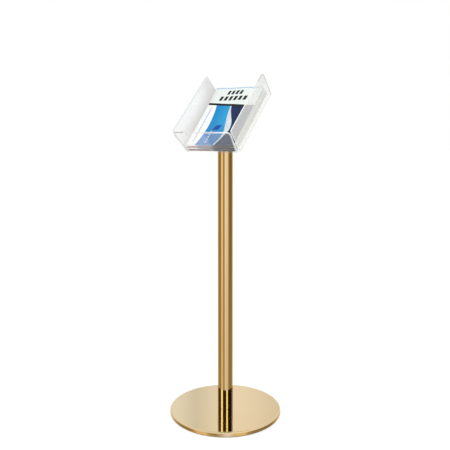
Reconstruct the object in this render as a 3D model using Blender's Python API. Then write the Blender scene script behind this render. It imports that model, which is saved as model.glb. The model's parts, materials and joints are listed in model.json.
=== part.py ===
"""Brochure rack: a clear tray on a gold post with a round weighted base.

The frame is metres, +Z up, with the origin on the floor under the middle of the base.
The tray faces -Y. It is one folded acrylic sheet, screwed to a sloping bracket whose boss
turns on a friction joint in the top of the post, and five booklets lie in it.
"""
import math

import bmesh
import bpy
from mathutils import Matrix, Vector

# ---------------------------------------------------------------- driving dimensions, metres
GAP = 0.0003  # left between pieces that touch or fit in each other

# round base
BASE_RADIUS = 0.2065
BASE_HEIGHT = 0.020
COVER_SHEET = 0.0015
FLOOR_PAD_THICKNESS = 0.002
WEIGHT_RADIUS = 0.2005
COUNTERBORE_RADIUS = 0.020
COUNTERBORE_DEPTH = 0.0115
BASE_SIDES = 64

# post
POST_RADIUS = 0.028
POST_WALL = 0.002
POST_TOP = 1.010
PLUG_LENGTH = 0.030
FOOT_PLUG_LENGTH = 0.025
POST_SIDES = 48

# base bolt, M10
BOLT_RADIUS = 0.005
BOLT_HEAD_RADIUS = 0.0098
BOLT_HEAD_HEIGHT = 0.0064
BOLT_LENGTH = 0.032

# swivel joint, M12 spindle
SPINDLE_RADIUS = 0.006
BUSH_RADIUS = 0.008
BUSH_FLANGE_RADIUS = 0.0278
BUSH_FLANGE_THICKNESS = 0.002
BUSH_LENGTH = 0.020
SPINDLE_TAIL = 0.056  # below the post's top
SPINDLE_ENGAGEMENT = 0.019  # screwed into the boss
SWIVEL_NUT_RADIUS = 0.011
SWIVEL_NUT_HEIGHT = 0.010
SET_SCREW_RADIUS = 0.0025
SET_SCREW_LENGTH = 0.009
SET_SCREW_DROP = 0.016  # below the post's top
SET_SCREW_BEARINGS = (-35.0, 35.0)  # degrees from +Y

# tray, folded from one sheet
TRAY_TILT = math.radians(45.0)
TRAY_CENTRE = Vector((0.0, 0.024, 1.085))  # middle of the back panel's lower face
TRAY_WIDTH = 0.236
TRAY_LENGTH = 0.300
WALL_HEIGHT = 0.105
WALL_FLARE = math.radians(4.0)
ACRYLIC = 0.004
BEND_RADIUS = 0.0055  # outside
NOTCH = 0.006  # from the lip's outer face to the side walls
LIP_HEIGHT = 0.1025
LIP_FOOT = 0.1055  # half the lip's width at the bend
LIP_HEAD = 0.1220  # and at its top
LIP_CORNER_RADIUS = 0.014
FRONT_CORNER_RADIUS = 0.008  # of the side walls
BACK_CORNER_RADII = (0.006, 0.013)  # left and right
BEND_STEPS = 6

# bracket plate and its fixings, M5
BRACKET_SIZE = (0.120, 0.130)
BRACKET_THICKNESS = 0.004
TRAY_PAD_THICKNESS = 0.002
SCREW_SPACING = (0.090, 0.100)
SCREW_RADIUS = 0.0025
SCREW_HEAD_RADIUS = 0.0048
SCREW_HEAD_HEIGHT = 0.0026
SCREW_LENGTH = 0.0155
CAP_NUT_RADIUS = 0.0046

# booklets, trimmed A4
BOOKLET_SIZE = (0.206, 0.296)
BOOKLET_LEFT = -0.1045
COVERS = ("grey_cover", "red_cover", "white_cover", "red_cover", "blue_cover")
BOOKLETS = (  # from the bottom up: name, thickness, turn in the tray in degrees
    ("booklet_bottom", 0.0042, 0.3),
    ("booklet_lower", 0.0046, 0.6),
    ("booklet_middle", 0.0066, 0.8),
    ("booklet_upper", 0.0056, 1.0),
    ("booklet_top", 0.0065, 1.3),
)

# ---------------------------------------------------------------- finishes
FINISHES = {  # base colour, roughness, metallic, alpha
    "polished_gold": ((0.78, 0.56, 0.27), 0.12, 1.0, 1.0),
    "cast_iron": ((0.09, 0.09, 0.10), 0.75, 1.0, 1.0),
    "zinc_steel": ((0.62, 0.62, 0.64), 0.35, 1.0, 1.0),
    "black_rubber": ((0.02, 0.02, 0.02), 0.85, 0.0, 1.0),
    "white_nylon": ((0.85, 0.85, 0.82), 0.45, 0.0, 1.0),
    "clear_acrylic": ((0.93, 0.95, 0.95), 0.05, 0.0, 0.35),
    "blue_cover": ((0.08, 0.38, 0.72), 0.35, 0.0, 1.0),
    "red_cover": ((0.32, 0.08, 0.10), 0.35, 0.0, 1.0),
    "white_cover": ((0.80, 0.80, 0.78), 0.35, 0.0, 1.0),
    "grey_cover": ((0.10, 0.10, 0.11), 0.35, 0.0, 1.0),
}


def clear_scene():
    for item in list(bpy.data.objects):
        bpy.data.objects.remove(item, do_unlink=True)


def finish(name):
    """The named Principled BSDF material, made once."""
    material = bpy.data.materials.get(name)
    if material:
        return material
    colour, roughness, metallic, alpha = FINISHES[name]
    material = bpy.data.materials.new(name)
    material.use_nodes = True
    shader = material.node_tree.nodes["Principled BSDF"]
    shader.inputs["Base Color"].default_value = (*colour, 1.0)
    shader.inputs["Roughness"].default_value = roughness
    shader.inputs["Metallic"].default_value = metallic
    shader.inputs["Alpha"].default_value = alpha
    return material


def add_object(name, bm, finish_name, parent=None, matrix=None):
    """Turns a bmesh into a named object, smooth on its round faces."""
    bmesh.ops.recalc_face_normals(bm, faces=bm.faces)
    mesh = bpy.data.meshes.new(name)
    bm.to_mesh(mesh)
    bm.free()
    mesh.shade_smooth()
    mesh.set_sharp_from_angle(angle=math.radians(30.0))
    item = bpy.data.objects.new(name, mesh)
    bpy.context.scene.collection.objects.link(item)
    if finish_name:
        mesh.materials.append(finish(finish_name))
    item.parent = parent
    if matrix is not None:
        item.matrix_local = matrix
    return item


def add_empty(name, location=(0.0, 0.0, 0.0), rotation=(0.0, 0.0, 0.0), parent=None):
    item = bpy.data.objects.new(name, None)
    bpy.context.scene.collection.objects.link(item)
    item.location = location
    item.rotation_euler = rotation
    item.parent = parent
    return item


def combine(item, tool, operation):
    """Adds or cuts one shape with another, which becomes a hidden guide."""
    tool.hide_render = True
    tool.display_type = "WIRE"
    modifier = item.modifiers.new(operation.lower(), "BOOLEAN")
    modifier.operation = operation
    modifier.solver = "EXACT"
    modifier.object = tool


# ---------------------------------------------------------------- round and hexagonal pieces
def join_rings(bm, first, second):
    """Faces between two rings of vertices: quads if they match, else triangles from one to the other."""
    n, m = len(first), len(second)
    if n == m:
        for k in range(n):
            after = (k + 1) % n
            bm.faces.new((first[k], first[after], second[after], second[k]))
        return
    i = j = 0
    while i < n or j < m:
        if j == m or (i < n and (i + 1) * m <= (j + 1) * n):
            bm.faces.new((first[i % n], first[(i + 1) % n], second[j % m]))
            i += 1
        else:
            bm.faces.new((first[i % n], second[(j + 1) % m], second[j % m]))
            j += 1


def ring_mesh(rings, closed):
    """Joins rings of (sides, radius, height); closed joins the last to the first, else both are capped."""
    bm = bmesh.new()
    loops = []
    for sides, radius, height in rings:
        place = Matrix.Translation((0.0, 0.0, height))
        loops.append(bmesh.ops.create_circle(bm, segments=sides, radius=radius, matrix=place)["verts"])
    for first, second in zip(loops, loops[1:]):
        join_rings(bm, first, second)
    if closed:
        join_rings(bm, loops[-1], loops[0])
    else:
        bm.faces.new(loops[0])
        bm.faces.new(loops[-1])
    return bm


def turned(profile, sides, closed=False):
    """A solid of revolution about Z from (radius, height) points."""
    return ring_mesh([(sides, radius, height) for radius, height in profile], closed)


def tube(outer, inner, low, high, sides):
    return turned([(outer, high), (outer, low), (inner, low), (inner, high)], sides, closed=True)


def hex_nut(radius, bore, low, high, sides=18):
    rings = [(6, radius, high), (6, radius, low), (sides, bore, low), (sides, bore, high)]
    return ring_mesh(rings, closed=True)


def arc(centre, radius, start, end, steps):
    """Points (a, b) along an arc, angles in radians."""
    return [
        (
            centre[0] + radius * math.cos(start + (end - start) * k / steps),
            centre[1] + radius * math.sin(start + (end - start) * k / steps),
        )
        for k in range(steps + 1)
    ]


def rounded_rectangle(size, radius, steps=5):
    """Outline of a centred rectangle with round corners."""
    half_x, half_y = size[0] / 2 - radius, size[1] / 2 - radius
    points = []
    for quarter, (sx, sy) in enumerate(((1, 1), (-1, 1), (-1, -1), (1, -1))):
        start = quarter * math.pi / 2
        points += arc((sx * half_x, sy * half_y), radius, start, start + math.pi / 2, steps)
    return points


def prism(outline, axis_a, axis_b, offset, depth):
    """Extrudes a flat outline, drawn on two axes from an offset, along the vector depth."""
    bm = bmesh.new()
    verts = [bm.verts.new(offset + axis_a * a + axis_b * b) for a, b in outline]
    face = bm.faces.new(verts)
    grown = bmesh.ops.extrude_face_region(bm, geom=[face], use_keep_orig=True)
    top = [v for v in grown["geom"] if isinstance(v, bmesh.types.BMVert)]
    bmesh.ops.translate(bm, verts=top, vec=depth)
    return bm


X_AXIS = Vector((1.0, 0.0, 0.0))
Y_AXIS = Vector((0.0, 1.0, 0.0))
Z_AXIS = Vector((0.0, 0.0, 1.0))
ORIGIN = Vector((0.0, 0.0, 0.0))


def rod(radius, low, high, sides):
    return turned([(radius, high), (radius, low)], sides)


# ---------------------------------------------------------------- base
def cover_outline():
    """The spun cover's outer line from the middle hole to the rim's lower edge."""
    top = BASE_HEIGHT
    rim = BASE_RADIUS
    shoulder = 0.0045
    points = [(BOLT_RADIUS + 0.001, top), (rim - 0.0058, top), (rim - 0.0046, top - 0.0009)]
    points += arc((rim - shoulder, top - 0.0010 - shoulder), shoulder, math.pi / 2, 0.0, 4)
    points += [(rim, 0.0060), (rim - 0.0008, 0.0042), (rim - 0.0022, 0.0030)]
    return points


def offset_line(points, distance):
    """The same line moved inwards, to its right as it runs out and down."""
    moved = []
    for k, (r, z) in enumerate(points):
        before = points[max(k - 1, 0)]
        after = points[min(k + 1, len(points) - 1)]
        along = Vector((after[0] - before[0], after[1] - before[1])).normalized()
        moved.append((r + along.y * distance, z - along.x * distance))
    return moved


def build_base():
    outer = cover_outline()
    inner = offset_line(outer, COVER_SHEET)
    add_object("base_cover", turned(outer + inner[::-1], BASE_SIDES, closed=True), "polished_gold")

    low = FLOOR_PAD_THICKNESS + GAP
    high = BASE_HEIGHT - COVER_SHEET - GAP
    chamfer = 0.006
    recess_top = low + COUNTERBORE_DEPTH
    bore = BOLT_RADIUS + 0.0005
    weight = [
        (bore, high),
        (WEIGHT_RADIUS - chamfer, high),
        (WEIGHT_RADIUS, high - chamfer),
        (WEIGHT_RADIUS, low),
        (COUNTERBORE_RADIUS, low),
        (COUNTERBORE_RADIUS, recess_top),
        (bore, recess_top),
    ]
    add_object("base_weight", turned(weight, BASE_SIDES // 2, closed=True), "cast_iron")
    add_object("base_floor_pad", rod(WEIGHT_RADIUS, 0.0, FLOOR_PAD_THICKNESS, BASE_SIDES), "black_rubber")
    build_base_bolt(recess_top)


def build_base_bolt(recess_top):
    washer_thickness = 0.002
    spring_thickness = 0.0022
    washer_low = recess_top - GAP - washer_thickness
    washer = tube(0.0155, 0.0053, washer_low, washer_low + washer_thickness, 32)
    add_object("base_washer", washer, "zinc_steel")
    spring_low = washer_low - GAP - spring_thickness
    spring_washer = split_ring(0.0090, 0.0053, spring_low, spring_low + spring_thickness)
    add_object("base_spring_washer", spring_washer, "zinc_steel")
    head_top = spring_low - GAP
    rings = [
        (6, BOLT_HEAD_RADIUS, head_top - BOLT_HEAD_HEIGHT),
        (6, BOLT_HEAD_RADIUS, head_top),
        (18, BOLT_RADIUS, head_top),
        (18, BOLT_RADIUS, head_top + BOLT_LENGTH),
    ]
    add_object("base_bolt", ring_mesh(rings, closed=False), "zinc_steel")


def split_ring(outer, inner, low, high, opening=math.radians(14.0), steps=28):
    """A spring washer: a flat ring with a gap in it."""
    bm = bmesh.new()
    turn = (2 * math.pi - opening) / steps
    loops = []
    for k in range(steps + 1):
        direction = Vector((math.cos(turn * k), math.sin(turn * k), 0.0))
        corners = ((inner, low), (outer, low), (outer, high), (inner, high))
        loops.append([bm.verts.new(direction * r + Z_AXIS * z) for r, z in corners])
    for first, second in zip(loops, loops[1:]):
        join_rings(bm, first, second)
    bm.faces.new(loops[0])
    bm.faces.new(loops[-1])
    return bm


# ---------------------------------------------------------------- post and swivel joint
def set_screw_matrix(bearing):
    """Local +Z points out of the post, from its axis at the set screws' height."""
    angle = math.radians(bearing)
    outward = Vector((math.sin(angle), math.cos(angle), 0.0))
    place = outward.to_track_quat("Z", "Y").to_matrix().to_4x4()
    return Matrix.Translation((0.0, 0.0, POST_TOP - SET_SCREW_DROP)) @ place


def build_post():
    foot = BASE_HEIGHT + GAP
    bore = POST_RADIUS - POST_WALL
    post = add_object("post_tube", tube(POST_RADIUS, bore, foot, POST_TOP, POST_SIDES), "polished_gold")
    plug_radius = bore - GAP
    foot_plug = tube(plug_radius, BOLT_RADIUS + GAP, foot, foot + FOOT_PLUG_LENGTH, 48)
    add_object("post_foot_plug", foot_plug, "zinc_steel")
    top_plug = tube(plug_radius, BUSH_RADIUS + GAP, POST_TOP - PLUG_LENGTH, POST_TOP, 48)
    top_plug = add_object("post_top_plug", top_plug, "zinc_steel")

    outer_end = POST_RADIUS - 0.0005
    inner_end = outer_end - SET_SCREW_LENGTH
    for number, bearing in enumerate(SET_SCREW_BEARINGS, start=1):
        place = set_screw_matrix(bearing)
        hole = rod(SET_SCREW_RADIUS + GAP, inner_end - 0.0010, POST_RADIUS + 0.002, 16)
        hole = add_object(f"set_screw_hole_{number}", hole, None, matrix=place)
        combine(post, hole, "DIFFERENCE")
        combine(top_plug, hole, "DIFFERENCE")
        socket = 0.0013
        rings = [
            (6, socket, outer_end - 0.003),
            (6, socket, outer_end),
            (16, SET_SCREW_RADIUS, outer_end),
            (16, SET_SCREW_RADIUS, inner_end),
        ]
        add_object(f"plug_set_screw_{number}", ring_mesh(rings, closed=False), "zinc_steel", matrix=place)


def build_swivel():
    """The nylon bush stays in the post; the spindle, washers and nut turn with the head."""
    flange_low = POST_TOP + GAP
    flange_top = flange_low + BUSH_FLANGE_THICKNESS
    bush = [
        (SPINDLE_RADIUS + GAP, flange_top),
        (BUSH_FLANGE_RADIUS, flange_top),
        (BUSH_FLANGE_RADIUS, flange_low),
        (BUSH_RADIUS, flange_low),
        (BUSH_RADIUS, flange_low - BUSH_LENGTH),
        (SPINDLE_RADIUS + GAP, flange_low - BUSH_LENGTH),
    ]
    add_object("swivel_bush", turned(bush, 48, closed=True), "white_nylon")
    boss_low = flange_top + GAP
    spindle = rod(SPINDLE_RADIUS, POST_TOP - SPINDLE_TAIL, boss_low + SPINDLE_ENGAGEMENT, 24)
    add_object("swivel_spindle", spindle, "zinc_steel")

    bore = SPINDLE_RADIUS + GAP
    washer_top = POST_TOP - PLUG_LENGTH - GAP
    washer_low = washer_top - 0.0025
    add_object("swivel_washer", tube(0.0180, bore, washer_low, washer_top, 32), "zinc_steel")
    dish = 0.0012
    sheet = 0.0010
    spring_top = washer_low - GAP
    spring = [
        (0.0140, spring_top - dish),
        (0.0140, spring_top - dish - sheet),
        (bore, spring_top - sheet),
        (bore, spring_top),
    ]
    add_object("swivel_disc_spring", turned(spring, 32, closed=True), "zinc_steel")
    nut_top = spring_top - dish - sheet - GAP
    nut = hex_nut(SWIVEL_NUT_RADIUS, bore, nut_top - SWIVEL_NUT_HEIGHT, nut_top)
    add_object("swivel_nut", nut, "zinc_steel")
    return boss_low


# ---------------------------------------------------------------- sloping head
def tray_origin():
    """The outer corner where the back panel would meet the lip."""
    down_slope = Vector((0.0, math.cos(TRAY_TILT), math.sin(TRAY_TILT))) * (TRAY_LENGTH / 2)
    return TRAY_CENTRE - down_slope


def axis_along_slope():
    """How far up the slope the post's axis passes through the back panel's lower face."""
    return -tray_origin().y / math.cos(TRAY_TILT)


def screw_places():
    along = axis_along_slope()
    for sx in (-1, 1):
        for sy in (-1, 1):
            yield sx * SCREW_SPACING[0] / 2, along + sy * SCREW_SPACING[1] / 2


def screw_cutter(name, parent, rings):
    """One guide with a copy of the same turned shape at each screw."""
    bm = bmesh.new()
    for x, y in screw_places():
        single = ring_mesh(rings, closed=False)
        single.transform(Matrix.Translation((x, y, 0.0)))
        mesh = bpy.data.meshes.new(name)
        single.to_mesh(mesh)
        single.free()
        bm.from_mesh(mesh)
        bpy.data.meshes.remove(mesh)
    return add_object(name, bm, None, parent=parent)


def build_bracket(tray_frame, boss_low):
    """The sloping plate, and the boss cut off along its lower face."""
    top = -GAP - TRAY_PAD_THICKNESS - GAP
    low = top - BRACKET_THICKNESS
    along = Y_AXIS * axis_along_slope()
    outline = rounded_rectangle(BRACKET_SIZE, 0.010)
    plate = prism(outline, X_AXIS, Y_AXIS, along + Z_AXIS * low, Z_AXIS * BRACKET_THICKNESS)
    plate = add_object("bracket_plate", plate, "polished_gold", parent=tray_frame)
    hole = [(18, SCREW_RADIUS + GAP, top + 0.002), (18, SCREW_RADIUS + GAP, low - 0.002)]
    combine(plate, screw_cutter("bracket_holes", tray_frame, hole), "DIFFERENCE")

    bpy.context.view_layer.update()
    boss = rod(POST_RADIUS, boss_low, TRAY_CENTRE.z + 0.05, POST_SIDES)
    under_plate = tray_frame.matrix_world @ (along + Z_AXIS * (low - GAP))
    normal = tray_frame.matrix_world.to_3x3() @ Z_AXIS
    cut = bmesh.ops.bisect_plane(
        boss,
        geom=boss.verts[:] + boss.edges[:] + boss.faces[:],
        plane_co=under_plate,
        plane_no=normal,
        clear_outer=True,
    )
    rim = [edge for edge in cut["geom_cut"] if isinstance(edge, bmesh.types.BMEdge)]
    bmesh.ops.contextual_create(boss, geom=rim)
    boss = add_object("head_boss", boss, "polished_gold")
    bore = rod(SPINDLE_RADIUS + GAP, boss_low - 0.01, boss_low + SPINDLE_ENGAGEMENT + GAP, 24)
    combine(boss, add_object("boss_bore", bore, None), "DIFFERENCE")
    return low


def build_tray_pad(tray_frame):
    margin = 0.004
    outline = rounded_rectangle((BRACKET_SIZE[0] - margin, BRACKET_SIZE[1] - margin), 0.008)
    low = -GAP - TRAY_PAD_THICKNESS
    place = Y_AXIS * axis_along_slope() + Z_AXIS * low
    pad = prism(outline, X_AXIS, Y_AXIS, place, Z_AXIS * TRAY_PAD_THICKNESS)
    pad = add_object("tray_pad", pad, "black_rubber", parent=tray_frame)
    hole = [(18, SCREW_RADIUS + GAP, low + 0.004), (18, SCREW_RADIUS + GAP, low - 0.002)]
    combine(pad, screw_cutter("pad_holes", tray_frame, hole), "DIFFERENCE")


def folded_edge(side):
    """Outer then inner line of one bend and its wall, from the flat panel up, for side -1 or 1."""
    lean = math.pi / 2 - WALL_FLARE  # how far the sheet turns
    inside = BEND_RADIUS - ACRYLIC
    centre_x = TRAY_WIDTH / 2 - BEND_RADIUS
    straight = WALL_HEIGHT - BEND_RADIUS
    tip = Vector((math.sin(WALL_FLARE), math.cos(WALL_FLARE))) * straight
    outer = arc((centre_x, BEND_RADIUS), BEND_RADIUS, -math.pi / 2, -math.pi / 2 + lean, BEND_STEPS)
    inner = arc((centre_x, BEND_RADIUS), inside, -math.pi / 2, -math.pi / 2 + lean, BEND_STEPS)
    outer.append((outer[-1][0] + tip.x, outer[-1][1] + tip.y))
    inner.append((inner[-1][0] + tip.x, inner[-1][1] + tip.y))
    return [(side * x, z) for x, z in outer], [(side * x, z) for x, z in inner]


def corner_cutter(name, tray_frame, side, radius, at_back):
    """Takes the square top corner off the wall on side -1 or 1, leaving a round one."""
    reach = 0.02
    bend_top = BEND_RADIUS * (1 - math.sin(WALL_FLARE))
    wall_top = bend_top + (WALL_HEIGHT - BEND_RADIUS) * math.cos(WALL_FLARE)
    centre_z = wall_top - radius
    if at_back:
        centre_y = TRAY_LENGTH - radius
        curve = arc((centre_y, centre_z), radius, math.pi / 2, 0.0, 6)
        beyond = centre_y + radius + reach
    else:
        centre_y = NOTCH + radius
        curve = arc((centre_y, centre_z), radius, math.pi / 2, math.pi, 6)
        beyond = centre_y - radius - reach
    above = centre_z + reach * 2
    outline = curve + [(beyond, centre_z), (beyond, above), (centre_y, above)]
    start = X_AXIS * (0.0 if side == 1 else -TRAY_WIDTH)
    block = prism(outline, Y_AXIS, Z_AXIS, start, X_AXIS * TRAY_WIDTH)
    return add_object(name, block, None, parent=tray_frame)


def lip_outline():
    """The lip's shape seen square on: narrow at the bend, wide and round-cornered at the top."""
    slope = math.atan2(LIP_HEAD - LIP_FOOT, LIP_HEIGHT)
    radius = LIP_CORNER_RADIUS
    centre_z = LIP_HEIGHT - radius
    centre_x = LIP_HEAD - radius - radius * math.tan(slope / 2)
    right = arc((centre_x, centre_z), radius, -slope, math.pi / 2, 8)
    right = [(LIP_FOOT, -0.01)] + [(LIP_FOOT, 0.0)] + right
    return right + [(-x, z) for x, z in reversed(right)]


def build_tray(tray_frame):
    outer_right, inner_right = folded_edge(1)
    outer_left, inner_left = folded_edge(-1)
    section = outer_right + inner_right[::-1] + inner_left + outer_left[::-1]
    length = TRAY_LENGTH - NOTCH
    channel = prism(section, X_AXIS, Z_AXIS, Y_AXIS * NOTCH, Y_AXIS * length)
    tray = add_object("tray", channel, "clear_acrylic", parent=tray_frame)
    for side, back_radius in zip((-1, 1), BACK_CORNER_RADII):
        front_cutter = corner_cutter("front_corner", tray_frame, side, FRONT_CORNER_RADIUS, False)
        combine(tray, front_cutter, "DIFFERENCE")
        back_cutter = corner_cutter("back_corner", tray_frame, side, back_radius, True)
        combine(tray, back_cutter, "DIFFERENCE")

    bend_outer = arc((BEND_RADIUS, BEND_RADIUS), BEND_RADIUS, -math.pi / 2, -math.pi, BEND_STEPS)
    bend_inner = arc((BEND_RADIUS, BEND_RADIUS), BEND_RADIUS - ACRYLIC, -math.pi / 2, -math.pi, BEND_STEPS)
    overlap = 0.004
    start = NOTCH + overlap
    profile = [(start, 0.0)] + bend_outer + [(0.0, LIP_HEIGHT), (ACRYLIC, LIP_HEIGHT)]
    profile += bend_inner[::-1] + [(start, ACRYLIC)]
    lip = prism(profile, Y_AXIS, Z_AXIS, X_AXIS * -TRAY_WIDTH, X_AXIS * TRAY_WIDTH * 2)
    lip = add_object("lip_blank", lip, None, parent=tray_frame)
    shape = prism(lip_outline(), X_AXIS, Z_AXIS, Y_AXIS * -0.01, Y_AXIS * 0.03)
    combine(lip, add_object("lip_shape", shape, None, parent=tray_frame), "INTERSECT")
    combine(tray, lip, "UNION")

    head = SCREW_HEAD_RADIUS + GAP
    hole = SCREW_RADIUS + GAP
    countersink = [
        (24, head, ACRYLIC + 0.001),
        (24, head, ACRYLIC - GAP),
        (24, hole, ACRYLIC - GAP - SCREW_HEAD_HEIGHT),
        (24, hole, -0.002),
    ]
    combine(tray, screw_cutter("countersinks", tray_frame, countersink), "DIFFERENCE")


def build_tray_fixings(tray_frame, plate_low):
    top = ACRYLIC - GAP * 2
    socket = 0.0015
    screw = [
        (6, socket, top - 0.0016),
        (6, socket, top),
        (24, SCREW_HEAD_RADIUS, top),
        (24, SCREW_RADIUS, top - SCREW_HEAD_HEIGHT),
        (24, SCREW_RADIUS, top - SCREW_LENGTH),
    ]
    mouth = plate_low - GAP
    bore = SCREW_RADIUS + GAP
    blind = top - SCREW_LENGTH - 0.0005
    dome = 0.0040
    dome_foot = mouth - 0.0040
    cap = [(12, bore, blind), (12, bore, mouth), (6, CAP_NUT_RADIUS, mouth), (6, CAP_NUT_RADIUS, dome_foot)]
    for r, z in arc((0.0, dome_foot - 0.0010), dome, 0.0, -math.radians(80.0), 4):
        cap.append((12, r, z))
    for number, (x, y) in enumerate(screw_places(), start=1):
        place = Matrix.Translation((x, y, 0.0))
        add_object(f"tray_screw_{number}", ring_mesh(screw, False), "zinc_steel", tray_frame, place)
        add_object(f"tray_cap_nut_{number}", ring_mesh(cap, False), "zinc_steel", tray_frame, place)


# ---------------------------------------------------------------- booklets
def booklet_section(thickness):
    """Across the booklet: a round spine on the left and square page edges on the right."""
    width = BOOKLET_SIZE[0]
    spine = min(thickness / 2, 0.003) * 0.98
    left = arc((spine, thickness - spine), spine, math.pi / 2, math.pi, 4)
    left += arc((spine, spine), spine, math.pi, 1.5 * math.pi, 4)
    return left + [(width, 0.0), (width, thickness)]


def build_booklets(tray_frame):
    low = ACRYLIC + GAP
    front = BEND_RADIUS + GAP
    for (name, thickness, turn), finish_name in zip(BOOKLETS, COVERS):
        lift_axis = add_empty(f"{name}_slide", (BOOKLET_LEFT, front, low), parent=tray_frame)
        lift_axis.rotation_euler.z = math.radians(turn)
        section = booklet_section(thickness)
        body = prism(section, X_AXIS, Z_AXIS, ORIGIN, Y_AXIS * BOOKLET_SIZE[1])
        add_object(name, body, finish_name, parent=lift_axis)
        low += thickness + GAP


# ---------------------------------------------------------------- whole rack
def build():
    clear_scene()
    build_base()
    build_post()
    boss_low = build_swivel()
    head_axis = add_empty("head_swivel_axis")
    tray_frame = add_empty("tray_frame", tray_origin(), (TRAY_TILT, 0.0, 0.0), parent=head_axis)
    plate_low = build_bracket(tray_frame, boss_low)
    build_tray_pad(tray_frame)
    build_tray(tray_frame)
    build_tray_fixings(tray_frame, plate_low)
    build_booklets(tray_frame)


build()
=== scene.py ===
import json
import math
import random

import bmesh
import bpy
from mathutils import Matrix, Vector


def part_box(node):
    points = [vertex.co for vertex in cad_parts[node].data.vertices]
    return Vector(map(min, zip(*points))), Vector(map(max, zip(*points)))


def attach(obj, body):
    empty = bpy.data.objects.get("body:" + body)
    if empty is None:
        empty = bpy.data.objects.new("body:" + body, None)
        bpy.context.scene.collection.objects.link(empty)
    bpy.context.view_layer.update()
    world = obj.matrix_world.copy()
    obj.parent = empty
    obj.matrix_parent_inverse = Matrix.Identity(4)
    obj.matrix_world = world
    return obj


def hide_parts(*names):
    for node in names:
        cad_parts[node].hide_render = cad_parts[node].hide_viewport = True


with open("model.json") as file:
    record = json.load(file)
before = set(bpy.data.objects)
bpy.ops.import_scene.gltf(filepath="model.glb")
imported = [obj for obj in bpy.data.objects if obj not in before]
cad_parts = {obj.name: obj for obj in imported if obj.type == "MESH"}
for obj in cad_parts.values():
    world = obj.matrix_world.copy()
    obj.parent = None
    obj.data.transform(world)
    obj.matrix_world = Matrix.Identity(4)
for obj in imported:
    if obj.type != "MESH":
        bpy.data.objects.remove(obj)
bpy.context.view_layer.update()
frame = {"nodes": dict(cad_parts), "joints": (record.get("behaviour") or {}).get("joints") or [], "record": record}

# ---- camera and studio
CAMERA_PLACE = Vector((1.2656, -1.8738, 1.0606))
CAMERA_PITCH = math.radians(5.296)  # downwards
CAMERA_YAW = math.radians(34.017)
CAMERA_LENS = 49.644
CAMERA_SHIFT = (-0.0011, -0.0832)
BACKDROP_WHITE = (1.0, 1.0, 1.0)
DIFFUSE_FILL = (0.72, 0.72, 0.73)  # what matt surfaces get from the room

# ---- sizes of the detail
FIT_GAP = 0.0003  # between pieces that touch
EDGE_BREAK = 0.0004
WALL_FLARE = math.radians(4.0)
ACRYLIC = 0.004
BEND_RADIUS = 0.0055  # outside
NOTCH = 0.006  # from the lip's outer face to the side walls
LIP_HEIGHT = 0.1025
LIP_FOOT = 0.1055  # half the lip's width at the bend
LIP_HEAD = 0.122  # and at its top
LIP_CORNER_RADIUS = 0.014
FRONT_CORNER_RADIUS = 0.008  # of the side walls
BACK_CORNER_RADII = {-1: 0.006, 1: 0.013}
LIP_BAND = 0.005  # width of the band painted bright along the lip's outline
WALL_BAND = 0.0042  # and along the walls'
TRAY_EDGE_BREAK = 0.0008
SCREW_SPACING = (0.09, 0.1)
SCREW_HOLE = 0.0028  # radius
SCREW_HEAD_HOLE = 0.0051  # radius
SCREW_HEAD_HEIGHT = 0.0026
SET_SCREW_HOLE = 0.0028  # radius
COVER_PAPER = 0.00028
BOOKLET_TURNS = {  # degrees in the tray
    "booklet_bottom": 0.3,
    "booklet_lower": 0.6,
    "booklet_middle": 0.8,
    "booklet_upper": 1.0,
    "booklet_top": 1.3,
}

X_AXIS = Vector((1.0, 0.0, 0.0))
JOINTS = {joint["name"]: joint for joint in frame["joints"]}
SLOPE = Vector(JOINTS["booklet_top_slide"]["axis"]).normalized()  # up the tray
NORMAL = X_AXIS.cross(SLOPE)  # out of the tray's back panel


def reach(node, axis):
    """Lowest and highest place of a CAD node along an axis."""
    along = [vertex.co.dot(axis) for vertex in frame["nodes"][node].data.vertices]
    return min(along), max(along)


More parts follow.
